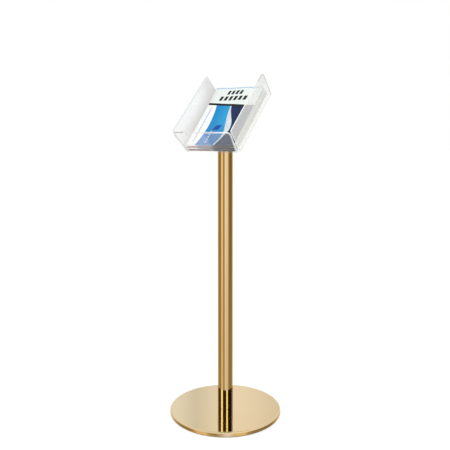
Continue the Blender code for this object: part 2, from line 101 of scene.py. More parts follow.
# ---- node trees
class Nodes:
    """Adds nodes to a tree; inputs are sockets or plain values, and the result is an output socket."""

    def __init__(self, tree):
        self.tree = tree

    def new(self, kind, inputs=None, output=0, **settings):
        node = self.tree.nodes.new(kind)
        for name, value in settings.items():
            setattr(node, name, value)
        for socket, value in (inputs or {}).items():
            self.feed(node.inputs[socket], value)
        return node.outputs[output]

    def feed(self, socket, value):
        if isinstance(value, bpy.types.NodeSocket):
            self.tree.links.new(value, socket)
        else:
            socket.default_value = value

    def math(self, operation, *values, clamp=False):
        return self.new("ShaderNodeMath", dict(enumerate(values)), operation=operation, use_clamp=clamp)

    def times(self, first, second):
        return self.math("MULTIPLY", first, second)

    def vector_math(self, operation, *values, output=0):
        return self.new("ShaderNodeVectorMath", dict(enumerate(values)), output, operation=operation)

    def dot(self, first, second):
        return self.vector_math("DOT_PRODUCT", first, second, output="Value")

    def split(self, vector):
        node = self.tree.nodes.new("ShaderNodeSeparateXYZ")
        self.feed(node.inputs[0], vector)
        return node.outputs

    def join(self, x, y, z):
        return self.new("ShaderNodeCombineXYZ", {0: x, 1: y, 2: z})

    def mix(self, factor, first, second, blend="MIX"):
        """Colour first where the factor is 0, second where it is 1."""
        inputs = {0: factor, 6: opaque(first), 7: opaque(second)}
        return self.new("ShaderNodeMix", inputs, 2, data_type="RGBA", blend_type=blend)

    def between(self, value, low, high):
        """0 at low and below, 1 at high and above, smooth in between."""
        inputs = {"Value": value, "From Min": low, "From Max": high}
        return self.new("ShaderNodeMapRange", inputs, interpolation_type="SMOOTHSTEP")

    def scaled(self, value, low, high):
        """Takes 0..1 to low..high."""
        return self.new("ShaderNodeMapRange", {"Value": value, "To Min": low, "To Max": high})

    def ramp(self, value, stops):
        node = self.tree.nodes.new("ShaderNodeValToRGB")
        elements = node.color_ramp.elements
        while len(elements) < len(stops):
            elements.new(0.5)
        for element, (place, colour) in zip(elements, stops):
            element.position = place
            element.color = opaque(colour)
        self.feed(node.inputs[0], value)
        return node.outputs["Color"]

    def curve(self, value, points):
        """A value read off a smooth line through (x, y) points, both from 0 to 1."""
        node = self.tree.nodes.new("ShaderNodeFloatCurve")
        line = node.mapping.curves[0]
        while len(line.points) < len(points):
            line.points.new(0.5, 0.5)
        for point, place in zip(line.points, points):
            point.location = place
        node.mapping.update()
        self.feed(node.inputs["Value"], value)
        return node.outputs[0]

    def noise(self, vector, scale, detail=2.0):
        inputs = {"Vector": vector, "Scale": scale, "Detail": detail}
        return self.new("ShaderNodeTexNoise", inputs, "Fac")

    def bump(self, height, strength, distance):
        inputs = {"Height": height, "Strength": strength, "Distance": distance}
        return self.new("ShaderNodeBump", inputs)

    def object_place(self):
        """Metres from the piece's own origin."""
        return self.new("ShaderNodeTexCoord", output="Object")

    def stored_place(self):
        """What store_place keeps: x, y and z as shares of the piece's size."""
        return self.new("ShaderNodeAttribute", output="Vector", attribute_name="place")

    def surface(self, shader, colour, roughness, normal):
        self.feed(shader.inputs["Base Color"], colour)
        self.feed(shader.inputs["Roughness"], roughness)
        self.feed(shader.inputs["Normal"], normal)


def opaque(colour):
    return colour if isinstance(colour, bpy.types.NodeSocket) else (*colour, 1.0)


def new_material(name, **inputs):
    """A material with one Principled shader, and the tool to add its nodes."""
    material = bpy.data.materials.new(name)
    material.use_nodes = True
    nodes = Nodes(material.node_tree)
    shader = material.node_tree.nodes["Principled BSDF"]
    for socket, value in inputs.items():
        nodes.feed(shader.inputs[socket.replace("_", " ")], value)
    return material, nodes, shader


BLACK = (0.0, 0.0, 0.0)


# ---- metals
GOLD = (0.93, 0.7, 0.37)
GOLD_DEEP = (0.88, 0.64, 0.32)


def gold_material(name, grain, polish):
    """Polished gold plating. grain(nodes, place) gives coordinates along its polishing lines."""
    material, nodes, shader = new_material(name, Metallic=1.0)
    place = nodes.object_place()
    lines = nodes.noise(grain(nodes, place), 1.0, 3.0)
    cloud = nodes.noise(place, 9.0, 3.0)
    colour = nodes.mix(nodes.scaled(cloud, 0.0, 0.6), GOLD, GOLD_DEEP)
    smears = nodes.noise(place, 31.0, 4.0)
    uneven = nodes.math("ADD", nodes.scaled(lines, -0.02, 0.02), nodes.scaled(smears, -0.015, 0.02))
    roughness = nodes.math("ADD", uneven, polish, clamp=True)
    nodes.surface(shader, colour, roughness, nodes.bump(lines, 0.04, 0.0002))
    return material


def spun_grain(nodes, place):
    """Rings round the post's axis, as a lathe leaves them."""
    x, y, z = nodes.split(place)
    radius = nodes.math("SQRT", nodes.math("ADD", nodes.times(x, x), nodes.times(y, y)))
    return nodes.join(nodes.times(radius, 900.0), nodes.times(z, 900.0), 0.0)


def drawn_grain(nodes, place):
    """Long lines up the post, as polishing along a tube leaves them."""
    return nodes.vector_math("MULTIPLY", place, (900.0, 900.0, 4.0))


def plate_grain(nodes, place):
    """Short lines across the plate, as a belt sander leaves them."""
    return nodes.vector_math("MULTIPLY", place, (700.0, 20.0, 20.0))


def steel_material():
    material, nodes, shader = new_material("zinc_steel", Metallic=1.0)
    place = nodes.object_place()
    colour = nodes.mix(nodes.noise(place, 160.0, 4.0), (0.52, 0.53, 0.55), (0.72, 0.71, 0.68))
    roughness = nodes.scaled(nodes.noise(place, 420.0, 3.0), 0.22, 0.42)
    nodes.surface(shader, colour, roughness, nodes.bump(nodes.noise(place, 1500.0), 0.1, 0.0001))
    return material


def iron_material():
    material, nodes, shader = new_material("cast_iron", Metallic=0.6)
    place = nodes.object_place()
    cloud = nodes.noise(place, 60.0, 5.0)
    colour = nodes.mix(cloud, (0.05, 0.05, 0.055), (0.13, 0.12, 0.115))
    pits = nodes.bump(nodes.noise(place, 700.0, 4.0), 0.5, 0.0004)
    nodes.surface(shader, colour, nodes.scaled(cloud, 0.6, 0.9), pits)
    return material


# ---- plastics and rubber
def plain_material(name, dark, light, scale, roughness, bump):
    """A matt moulded or sheet material: two close colours, and a fine texture."""
    material, nodes, shader = new_material(name)
    place = nodes.object_place()
    colour = nodes.mix(nodes.noise(place, scale * 0.2, 4.0), dark, light)
    uneven = nodes.scaled(nodes.noise(place, scale * 0.5, 3.0), *roughness)
    nodes.surface(shader, colour, uneven, nodes.bump(nodes.noise(place, scale, 3.0), bump, 0.0002))
    return material


GLOW_STRENGTH = 0.86  # painted glow: about as bright as white paper in this light


def acrylic_material(name, alpha, veil, roughness=0.05, glow_share=0.0):
    """Clear sheet: a faint milky veil under a gloss, part haze and part painted reflection and shade.
    veil(nodes, x, y, z) paints it, with x from -1 to 1 across the tray, y from 0 to 1 up it and z
    from 0 to 1 out of it. The last argument is the share of its veil that is painted glow, given as
    emission though the sheet is no lamp."""
    material, nodes, shader = new_material(name, Alpha=alpha, IOR=1.49)
    place = nodes.stored_place()
    cloud = nodes.noise(place, 4.0, 2.0)
    veiled = veil(nodes, *nodes.split(place))
    colour = nodes.mix(nodes.scaled(cloud, 0.0, 0.1), veiled, (0.6, 0.62, 0.62))
    if glow_share:
        # Painted glow: the sheet gives off light as emission, though it is no lamp.
        nodes.feed(shader.inputs["Emission Color"], colour)
        shader.inputs["Emission Strength"].default_value = glow_share * GLOW_STRENGTH
    smears = nodes.noise(place, 30.0, 3.0)
    uneven = nodes.scaled(smears, roughness * 0.5, roughness * 2.0)
    nodes.surface(shader, nodes.mix(glow_share, colour, BLACK), uneven, nodes.bump(cloud, 0.05, 0.001))
    return material


def left_veil_painted_shade(nodes, x, y, z):
    """Bright along its top, with painted shade beside the stack and darker towards its back."""
    shade = nodes.mix(nodes.between(y, 0.2, 1.0), (0.42, 0.41, 0.365), (0.11, 0.105, 0.08))
    shade = nodes.mix(nodes.between(y, 0.16, 0.0), shade, (0.68, 0.67, 0.62))
    top = nodes.mix(nodes.between(y, 0.62, 0.98), (0.97, 0.98, 0.95), (0.42, 0.43, 0.38))
    return nodes.mix(nodes.between(z, 0.22, 0.85), shade, top)


def right_veil_painted_light(nodes, x, y, z):
    """Painted light: brightest just above its foot, painted dark, and dimmer in its high back corner."""
    high_back = nodes.times(nodes.between(y, 0.6, 0.98), nodes.between(z, 0.45, 0.75))
    side = nodes.mix(high_back, (0.9, 0.91, 0.88), (0.72, 0.725, 0.68))
    colour = nodes.mix(nodes.between(z, 0.1, 0.3), (1.0, 1.0, 0.95), side)
    return nodes.mix(nodes.between(z, 0.06, 0.015), colour, (0.34, 0.34, 0.31))


def lip_veil_painted_reflection(nodes, x, y, z):
    """Painted reflection: white over its left half; its right half grey, and darker at its foot."""
    colour = nodes.mix(nodes.between(z, 0.2, 0.5), (0.3, 0.32, 0.32), (0.56, 0.57, 0.56))
    return nodes.mix(nodes.between(x, 0.15, 0.06), colour, (1.0, 1.0, 0.98))


def panel_veil(nodes, x, y, z):
    """Nearly even, a little brighter towards the back."""
    return nodes.mix(nodes.between(y, 0.0, 1.0), (0.8, 0.81, 0.81), (0.88, 0.89, 0.89))


def band_veil_painted_light(nodes, x, y, z):
    """Painted light along the cut edges, where the sheet shows the bright edge through itself."""
    return nodes.mix(nodes.noise(nodes.join(x, y, z), 5.0, 2.0), (0.84, 0.86, 0.85), (0.94, 0.96, 0.95))


def edge_veil_painted_reflections(nodes, x, y, z):
    """Polished cut edges, grey-white, with painted highlights and painted streaks that mirror something dark or
    warm.
    """
    grain = nodes.noise(nodes.join(x, y, z), 9.0, 2.0)
    colour = nodes.mix(grain, (0.5, 0.51, 0.5), (0.7, 0.71, 0.7))
    # Painted highlight along the right wall's front edge.
    front_right_highlight = nodes.times(nodes.between(x, 0.3, 0.7), nodes.between(y, 0.75, 0.6))
    colour = nodes.mix(front_right_highlight, colour, (0.9, 0.92, 0.9))
    # A painted dark reflection on the lip's top edge, near its left end.
    lip_top = nodes.math("GREATER_THAN", z, 0.9)
    dark_reflection = inside_box(nodes, x, y, -0.97, -0.64, -0.1, 0.03)
    colour = nodes.mix(nodes.times(dark_reflection, lip_top), colour, (0.12, 0.12, 0.1))
    # Painted dark reflection along the right wall's far end.
    dark_far_end = inside_box(nodes, x, y, 0.9, 1.2, 0.985, 1.1)
    colour = nodes.mix(nodes.times(dark_far_end, 0.8), colour, (0.24, 0.24, 0.22))
    # Painted shade on the right wall's top, near its back corner.
    wall_top = nodes.math("GREATER_THAN", z, 0.84)
    shade = nodes.times(inside_box(nodes, x, y, 0.9, 1.2, 0.84, 0.93), wall_top)
    colour = nodes.mix(nodes.times(shade, 0.7), colour, (0.16, 0.16, 0.15))
    # A painted warm and dark glint in the right wall's back corner.
    painted_glint = nodes.times(inside_box(nodes, x, y, 0.9, 1.2, 0.93, 1.1), wall_top)
    glint_colour = nodes.mix(nodes.between(y, 0.965, 0.99), (0.42, 0.26, 0.09), (0.03, 0.03, 0.04))
    return nodes.mix(nodes.times(painted_glint, 0.85), colour, glint_colour)


# ---- printed paper
PAGE_WHITE = (0.82, 0.83, 0.8)
PAGE_SHADE = (0.62, 0.63, 0.62)
LEAF_STEP = 0.00035


def page_edge_material(name, thickness, front_colours):
    """Cut page edges: a fine line for each few leaves. The front carries each booklet's colours along X,
    with painted shade towards X = 1.
    """
    material, nodes, shader = new_material(name)
    place = nodes.stored_place()
    x, y, z = nodes.split(place)
    leaves = nodes.times(z, thickness / LEAF_STEP)
    stretched = nodes.join(nodes.times(x, 3.0), nodes.times(y, 3.0), leaves)
    lines = nodes.noise(stretched, 1.0, 3.0)
    blank = nodes.mix(nodes.between(lines, 0.35, 0.65), PAGE_SHADE, PAGE_WHITE)
    # The front's colours along X; their darkening towards X = 1 is painted shade.
    bleed_and_shade = nodes.ramp(x, front_colours)
    shade = nodes.mix(nodes.between(lines, 0.2, 0.8), (0.88, 0.88, 0.88), (1.0, 1.0, 1.0))
    front_print_and_shade = nodes.mix(1.0, bleed_and_shade, shade, "MULTIPLY")
    colour = nodes.mix(nodes.math("LESS_THAN", y, 0.004), blank, front_print_and_shade)
    nodes.surface(shader, colour, nodes.scaled(lines, 0.65, 0.85), nodes.bump(lines, 0.4, 0.0002))
    return material


def cover_material(name, paint):
    """Gloss art paper. paint(nodes, x, y) gives its colour: x across and y up the cover, 0 to 1."""
    material, nodes, shader = new_material(name, Specular_IOR_Level=0.12)
    place = nodes.stored_place()
    x, y, _ = nodes.split(place)
    print_grain = nodes.noise(nodes.vector_math("MULTIPLY", place, (210.0, 300.0, 1.0)), 1.0, 3.0)
    colour = nodes.mix(nodes.scaled(print_grain, 0.0, 0.12), paint(nodes, x, y), BLACK)
    roughness = nodes.scaled(print_grain, 0.28, 0.42)
    nodes.surface(shader, colour, roughness, nodes.bump(print_grain, 0.05, 0.0001))
    return material


HEADER_FOOT = (0.738, 0.67)  # share of the cover's height, at the spine and at the open side
STRIP_HEIGHT = 0.036
NEAR_BLACK = (0.01, 0.013, 0.01)
BLUE_LEFT = [(0.0, 0.195), (0.25, 0.262), (0.53, 0.243), (0.7, 0.2), (1.0, 0.12)]
BLUE_RIGHT = [(0.0, 0.56), (0.16, 0.65), (0.36, 0.6), (0.5, 0.55), (0.7, 0.505), (1.0, 0.4)]
NAVY_LEFT = [
    (0.0, 0.6), (0.16, 0.7), (0.26, 0.742), (0.36, 0.72), (0.5, 0.63), (0.64, 0.545), (1.0, 0.5)
]
SWEEP_SOFTNESS = 0.007


def holiday_cover(nodes, x, y):
    """A white margin, then a blue sweep, a white one and a navy one, under a pale header."""
    cloud = nodes.noise(nodes.join(x, y, 0.0), 7.0, 4.0)
    blue = nodes.mix(nodes.between(x, 0.2, 0.65), (0.004, 0.215, 0.5), (0.04, 0.37, 0.64))
    blue = nodes.mix(nodes.between(y, 0.48, 0.05), blue, (0.045, 0.165, 0.42))
    blue = nodes.mix(nodes.scaled(cloud, 0.0, 0.5), blue, (0.015, 0.24, 0.5))
    navy = nodes.mix(cloud, (0.004, 0.008, 0.05), (0.016, 0.036, 0.1))
    snow = nodes.mix(cloud, (0.42, 0.5, 0.56), (0.78, 0.82, 0.83))
    colour = margin_lines(nodes, x, y)
    for outline, paint in (
        (BLUE_LEFT, emblem(nodes, x, y, blue)),
        (BLUE_RIGHT, snow),
        (NAVY_LEFT, navy),
    ):
        past_outline = nodes.math("SUBTRACT", x, nodes.curve(y, outline))
        past_outline = nodes.between(past_outline, -SWEEP_SOFTNESS, SWEEP_SOFTNESS)
        colour = nodes.mix(past_outline, colour, paint)
    slant = HEADER_FOOT[1] - HEADER_FOOT[0]
    above = nodes.math("SUBTRACT", y, nodes.math("MULTIPLY_ADD", x, slant, HEADER_FOOT[0]))
    # A dark strip along the header's foot, STRIP_HEIGHT deep and slanting with it.
    colour = nodes.mix(nodes.math("GREATER_THAN", above, -STRIP_HEIGHT), colour, NEAR_BLACK)
    return nodes.mix(nodes.math("GREATER_THAN", above, 0.0), colour, header(nodes, x, y, cloud))


def inside(nodes, value, low, high):
    """1 between low and high, else 0."""
    above = nodes.math("GREATER_THAN", value, low)
    return nodes.times(above, nodes.math("LESS_THAN", value, high))


def inside_box(nodes, x, y, left, right, low, high):
    """1 within the box, else 0."""
    return nodes.times(inside(nodes, x, left, right), inside(nodes, y, low, high))


def dashes(nodes, along, count, share):
    """1 on the dashes of a line, 0 in its gaps."""
    step = nodes.math("FRACT", nodes.times(along, count))
    return nodes.math("LESS_THAN", step, share)


def margin_lines(nodes, x, y):
    """White, with a faint dashed rule up its middle."""
    box = inside_box(nodes, x, y, 0.106, 0.14, 0.05, 0.66)
    rule = nodes.times(dashes(nodes, y, 31.0, 0.72), box)
    return nodes.mix(nodes.times(rule, 0.75), (0.87, 0.88, 0.86), (0.26, 0.33, 0.48))


def emblem(nodes, x, y, ground):
    """A small darker pennant and a light dashed line below it, of no particular meaning."""
    slant = nodes.math("SUBTRACT", x, nodes.times(y, 0.55))
    pennant = inside_box(nodes, slant, y, 0.25, 0.37, 0.255, 0.335)
    colour = nodes.mix(pennant, ground, (0.01, 0.07, 0.33))
    box = inside_box(nodes, x, y, 0.375, 0.405, 0.03, 0.245)
    line = nodes.times(dashes(nodes, y, 24.0, 0.6), box)
    return nodes.mix(nodes.times(line, 0.8), colour, (0.72, 0.68, 0.78))


def header(nodes, x, y, cloud):
    """Pale mint card with two rows of plain blocks, bluish at its far edge."""
    card = nodes.mix(cloud, (0.66, 0.74, 0.69), (0.8, 0.83, 0.8))
    card = nodes.mix(nodes.between(x, 0.03, 0.07), (0.82, 0.81, 0.76), card)
    far_edge = nodes.between(nodes.math("ADD", y, nodes.times(cloud, 0.03)), 0.985, 1.005)
    card = nodes.mix(far_edge, card, (0.4, 0.52, 0.7))
    slant = nodes.math("SUBTRACT", x, nodes.times(y, 0.25))
    upper = inside_box(nodes, slant, y, 0.055, 0.415, 0.875, 0.945)
    upper = nodes.times(upper, dashes(nodes, slant, 11.5, 0.62))
    lower = inside_box(nodes, slant, y, -0.01, 0.61, 0.77, 0.845)
    lower = nodes.times(lower, dashes(nodes, slant, 10.0, 0.62))
    return nodes.mix(nodes.math("MAXIMUM", upper, lower), card, NEAR_BLACK)


def plain_cover(main, second):
    """A paint for covers that are one clouded colour with a light rule."""
    def paint(nodes, x, y):
        cloud = nodes.noise(nodes.join(x, y, 0.3), 5.0, 3.0)
        ground = nodes.mix(cloud, main, second)
        return nodes.mix(inside_box(nodes, x, y, 0.1, 0.9, 0.78, 0.8), ground, (0.8, 0.8, 0.78))
    return paint


# ---- building pieces
def arc(centre, radius, start, end, steps):
    """Points (a, b) along an arc, angles in radians."""
    return [
        (
            centre[0] + radius * math.cos(start + (end - start) * k / steps),
            centre[1] + radius * math.sin(start + (end - start) * k / steps),
        )
        for k in range(steps + 1)
    ]


def skin(bm, first, second):
    """Quads from one ring of vertices to the next."""
    for k in range(len(first)):
        after = (k + 1) % len(first)
        bm.faces.new((first[k], first[after], second[after], second[k]))


def join_rings(bm, rings, closed=False):
    """Skins rings in turn, and closes the ends: onto each other, or each with a cap."""
    for first, second in zip(rings, rings[1:]):
        skin(bm, first, second)
    if closed:
        skin(bm, rings[-1], rings[0])
    else:
        bm.faces.new(rings[0])
        bm.faces.new(rings[-1])


def circle(radius, sides):
    """Points (x, y) round the origin."""
    turns = [2 * math.pi * k / sides for k in range(sides)]
    return [(radius * math.cos(turn), radius * math.sin(turn)) for turn in turns]


def lathe(profile, sides, closed=False, bm=None):
    """A solid of revolution about Z from (radius, height) points; its ends are capped unless closed."""
    bm = bm or bmesh.new()
    rings = []
    for radius, height in profile:
        rings.append([bm.verts.new((x, y, height)) for x, y in circle(radius, sides)])
    join_rings(bm, rings, closed)
    return bm


def linked(name, data):
    item = bpy.data.objects.new(name, data)
    bpy.context.scene.collection.objects.link(item)
    return item


def new_object(name, bm, materials, as_drawn=False):
    """An object from a bmesh. Its faces are turned outwards unless they stay as drawn."""
    if not as_drawn:
        bmesh.ops.recalc_face_normals(bm, faces=bm.faces)
    mesh = bpy.data.meshes.new(name)
    bm.to_mesh(mesh)
    bm.free()
    for material in materials:
        mesh.materials.append(material)
    return linked(name, mesh)


def cut(item, cutter):
    modifier = item.modifiers.new("cut", "BOOLEAN")
    modifier.operation = "DIFFERENCE"
    modifier.solver = "EXACT"
    modifier.object = cutter


def soften(item, width, segments=2, material=-1, angle=40.0):
    """Breaks the sharp edges with a bevel; apply_modifiers later keeps the flats flat in the shading."""
    bevel = item.modifiers.new("edges", "BEVEL")
    bevel.width = width
    bevel.segments = segments
    bevel.limit_method = "ANGLE"
    bevel.angle_limit = math.radians(angle)
    bevel.material = material
    bevel.miter_outer = "MITER_ARC"


def apply_modifiers(item, sharp=30.0):
    """Replaces the mesh with what its modifiers make of it, smooth across its round faces."""
    bpy.context.view_layer.update()
    graph = bpy.context.evaluated_depsgraph_get()
    mesh = bpy.data.meshes.new_from_object(item.evaluated_get(graph))
    item.modifiers.clear()
    item.data = mesh
    mesh.shade_smooth()
    mesh.set_sharp_from_angle(angle=math.radians(sharp))
    weighted = item.modifiers.new("shading", "WEIGHTED_NORMAL")
    weighted.keep_sharp = True


def drop(*items):
    for item in items:
        bpy.data.objects.remove(item, do_unlink=True)


def settle(item, body, nodes, place=None):
    """Puts a finished piece in the row frame, on its body, in place of its CAD nodes."""
    if place is not None:
        item.data.transform(place)
    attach(item, body)
    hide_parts(*nodes)
    return item


# ---- base and post
BASE_SIDES = 256
POST_SIDES = 160
BEND_STEPS = 12


def base_profile(rim, top, foot):
    """The cover's section from its middle out to the rim and back inside, as (radius, height)."""
    sheet = 0.0015
    hole = 0.006
    ledge = rim - 0.0058
    step_foot = top - 0.001
    shoulder = 0.0045
    crest = 0.0006
    outer = [(hole, top), (ledge * 0.5, top), (ledge - crest, top)]
    outer += arc((ledge - crest, top - crest), crest, math.pi / 2, 0.15, 4)
    outer += [(ledge + 0.0003, step_foot + 0.0001), (ledge + 0.0007, step_foot)]
    outer += arc((rim - shoulder, step_foot - shoulder), shoulder, math.pi / 2, 0.0, 12)
    outer += [(rim, foot + 0.003), (rim - 0.0004, foot + 0.0018)]
    outer += [(rim - 0.001, foot + 0.0009), (rim - 0.0022, foot)]
    inner = [
        (rim - 0.003, foot + 0.0004),
        (rim - sheet, foot + 0.003),
        (rim - sheet, step_foot + 0.0001 - shoulder),
        (rim - shoulder, step_foot + 0.0001 - sheet),
        (ledge - 0.001, top - sheet),
        (hole, top - sheet),
    ]
    return outer + inner


def build_base(gold):
    low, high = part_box("base_cover")
    profile = base_profile(high.x, high.z, low.z)
    base = new_object("base_shell", lathe(profile, BASE_SIDES, closed=True), [gold])
    apply_modifiers(base)
    settle(base, "stand", ["base_cover"])


def set_screw_places():
    """For each set screw, a matrix from the Z axis to its own, out of the post's middle."""
    for number in (1, 2):
        low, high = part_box(f"plug_set_screw_{number}")
        middle = (low + high) / 2
        outward = Vector((middle.x, middle.y, 0.0)).normalized()
        turn = outward.to_track_quat("Z", "Y").to_matrix().to_4x4()
        yield Matrix.Translation((0.0, 0.0, middle.z)) @ turn


def set_screw_cutter(place, reach_out):
    start = 0.015
    profile = [(SET_SCREW_HOLE, start), (SET_SCREW_HOLE, reach_out)]
    cutter = new_object("set_screw_hole", lathe(profile, 32), [])
    cutter.data.transform(place)
    return cutter


def build_post(gold):
    low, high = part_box("post_tube")
    radius = high.x
    wall = 0.002
    edge = EDGE_BREAK
    profile = [(radius, high.z - edge), (radius, low.z + edge), (radius - edge, low.z)]
    profile += [(radius - wall, low.z), (radius - wall, high.z), (radius - edge, high.z)]
    post = new_object("post_column", lathe(profile, POST_SIDES, closed=True), [gold])
    cutters = [set_screw_cutter(place, radius * 1.2) for place in set_screw_places()]
    for cutter in cutters:
        cut(post, cutter)
    apply_modifiers(post)
    drop(*cutters)
    settle(post, "stand", ["post_tube"])


# ---- head
TRAY_LOW, TRAY_HIGH = reach("tray", SLOPE)
PANEL_LOW, WALL_TOP = reach("tray", NORMAL)
TRAY_LENGTH = TRAY_HIGH - TRAY_LOW
WALL_RUN = (WALL_TOP - PANEL_LOW - BEND_RADIUS) / math.cos(WALL_FLARE)  # from its bend to its top
TIP_LEAN = math.sin(WALL_FLARE) * WALL_RUN - BEND_RADIUS * (1 - math.cos(WALL_FLARE))
TRAY_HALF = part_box("tray")[1].x - TIP_LEAN  # to the outside of the walls at their foot
TRAY_SIZE = Vector((TRAY_HALF, TRAY_LENGTH, WALL_TOP - PANEL_LOW))
TRAY_PLACE = Matrix.Translation(SLOPE * TRAY_LOW + NORMAL * PANEL_LOW) @ Matrix(
    (X_AXIS, SLOPE, NORMAL)
).transposed().to_4x4()
POST_ALONG = -TRAY_PLACE.translation.y / SLOPE.y  # where the post's axis meets the slope


def screw_places():
    for side in (-1, 1):
        for end in (-1, 1):
            yield side * SCREW_SPACING[0] / 2, POST_ALONG + end * SCREW_SPACING[1] / 2


def screw_cutter(name, profile, sides=32):
    bm = bmesh.new()
    for x, y in screw_places():
        before = set(bm.verts)
        lathe(profile, sides, bm=bm)
        bmesh.ops.translate(bm, verts=[v for v in bm.verts if v not in before], vec=(x, y, 0.0))
    return new_object(name, bm, [])


def sloped_ring(bm, radius, below_plate):
    """A ring round the post's axis, cut along the slope at a depth under the bracket plate."""
    plate_low = reach("bracket_plate", NORMAL)[0]
    verts = []
    for x, y in circle(radius, POST_SIDES):
        height = (plate_low - below_plate - y * NORMAL.y) / NORMAL.z
        verts.append(bm.verts.new((x, y, height)))
    return verts


def level_ring(bm, radius, height):
    return [bm.verts.new((x, y, height)) for x, y in circle(radius, POST_SIDES)]


def build_hub(gold):
    """The boss, cut off along the slope, with a small weld fillet under the plate."""
    low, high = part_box("head_boss")
    radius = high.x
    fillet = 0.0025
    edge = 0.0005
    bm = bmesh.new()
    rings = [
        level_ring(bm, radius - edge, low.z),
        level_ring(bm, radius, low.z + edge),
        sloped_ring(bm, radius, fillet + FIT_GAP),
    ]
    for step in range(1, 6):
        bend = math.pi / 2 * step / 5
        depth = FIT_GAP + fillet * (1 - math.sin(bend))
        rings.append(sloped_ring(bm, radius + fillet * (1 - math.cos(bend)), depth))
    join_rings(bm, rings)
    hub = new_object("head_hub", bm, [gold])
    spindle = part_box("swivel_spindle")[1]
    bore = spindle.x + FIT_GAP
    profile = [(bore, low.z - 0.01), (bore, spindle.z + FIT_GAP)]
    cutter = new_object("spindle_bore", lathe(profile, 48), [])
    cut(hub, cutter)
    apply_modifiers(hub, 35.0)
    drop(cutter)
    settle(hub, "head", ["head_boss"])


def rounded_rectangle(width, length, radius, steps=10):
    points = []
    for quarter, (side, end) in enumerate(((1, 1), (-1, 1), (-1, -1), (1, -1))):
        centre = (side * (width / 2 - radius), end * (length / 2 - radius))
        points += arc(centre, radius, quarter * math.pi / 2, (quarter + 1) * math.pi / 2, steps)
    return points


def build_plate(gold):
    low, high = reach("bracket_plate", NORMAL)
    start, end = reach("bracket_plate", SLOPE)
    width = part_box("bracket_plate")[1].x * 2
    bm = bmesh.new()
    outline = rounded_rectangle(width, end - start, 0.01)
    along = (start + end) / 2 - TRAY_LOW
    rings = [[bm.verts.new((x, y + along, z - PANEL_LOW)) for x, y in outline] for z in (low, high)]
    join_rings(bm, rings)
    plate = new_object("head_plate", bm, [gold])
    cutter = screw_cutter("plate_holes", [(SCREW_HOLE, low - PANEL_LOW - 0.002), (SCREW_HOLE, 0.002)])
    cut(plate, cutter)
    soften(plate, 0.0005)
    apply_modifiers(plate, 40.0)
    drop(cutter)
    settle(plate, "head", ["bracket_plate"], TRAY_PLACE)


NUT_FLAT = 0.004  # half the distance across the flats
NUT_HEIGHT = 0.004
NUT_CHAMFER = 0.0004
NUT_DOME = 0.0038
NUT_SIDES = 48


def hexagon_ring(bm, height, inset):
    """A hexagon with its corners turned down to a circle, which an inset makes smaller."""
    ring = []
    for k in range(NUT_SIDES):
        turn = 2 * math.pi * k / NUT_SIDES
        from_flat = (turn + math.pi / 6) % (math.pi / 3) - math.pi / 6
        radius = min(NUT_FLAT / math.cos(from_flat), NUT_FLAT * 1.13 - inset)
        ring.append(bm.verts.new((radius * math.cos(turn), radius * math.sin(turn), height)))
    return ring


def dome_rings(bm, base, depth, steps=8):
    """The cap, downwards from its base."""
    for k in range(steps):
        bend = math.pi / 2 * k / steps
        radius = NUT_DOME * math.cos(bend)
        height = base - depth * math.sin(bend)
        yield [bm.verts.new((x, y, height)) for x, y in circle(radius, NUT_SIDES)]


def build_cap_nuts(steel):
    """Hexagon nuts with chamfered corners and a domed cap."""
    for number, (x, y) in enumerate(screw_places(), start=1):
        node = f"tray_cap_nut_{number}"
        low, high = (height - PANEL_LOW for height in reach(node, NORMAL))
        bm = bmesh.new()
        rings = [
            hexagon_ring(bm, high, NUT_CHAMFER),
            hexagon_ring(bm, high - NUT_CHAMFER, 0.0),
            hexagon_ring(bm, high - NUT_HEIGHT + NUT_CHAMFER, 0.0),
            hexagon_ring(bm, high - NUT_HEIGHT, NUT_CHAMFER),
        ]
        rings += dome_rings(bm, high - NUT_HEIGHT - 0.0001, (high - NUT_HEIGHT - low) * 0.985)
        join_rings(bm, rings)
        nut = new_object(f"cap_nut_{number}", bm, [steel])
        apply_modifiers(nut, 25.0)
        settle(nut, "head", [node], TRAY_PLACE @ Matrix.Translation((x, y, 0.0)))


LEFT_WALL, RIGHT_WALL, LIP, PANEL, BAND, EDGE = range(6)


def lip_corner(inset):
    """The lip's top right corner, from its side to its top, moved inwards by an inset."""
    lean = math.atan2(LIP_HEAD - LIP_FOOT, LIP_HEIGHT)
    radius = LIP_CORNER_RADIUS
    centre = (LIP_HEAD - radius - radius * math.tan(lean / 2), LIP_HEIGHT - radius)
    return arc(centre, radius - inset, -lean, math.pi / 2, 10)


def lip_half(height, inset):
    """Half the lip's width, on the straight line from its foot to its corner."""
    foot = LIP_FOOT - inset
    x, z = lip_corner(inset)[0]
    return foot + (x - foot) * height / z


def add_faces(bm, first, second, slot, flip=False):
    """Quads between two open lines of vertices."""
    for k in range(len(first) - 1):
        quad = (first[k], first[k + 1], second[k + 1], second[k])
        bm.faces.new(quad[::-1] if flip else quad).material_index = slot


def add_strip(bm, first, second, slot, flip=False):
    """Three quads between lines of four vertices: the sheet, with a band painted bright on each side."""
    for k, band in enumerate((BAND, slot, BAND)):
        add_faces(bm, first[k:k + 2], second[k:k + 2], band, flip)


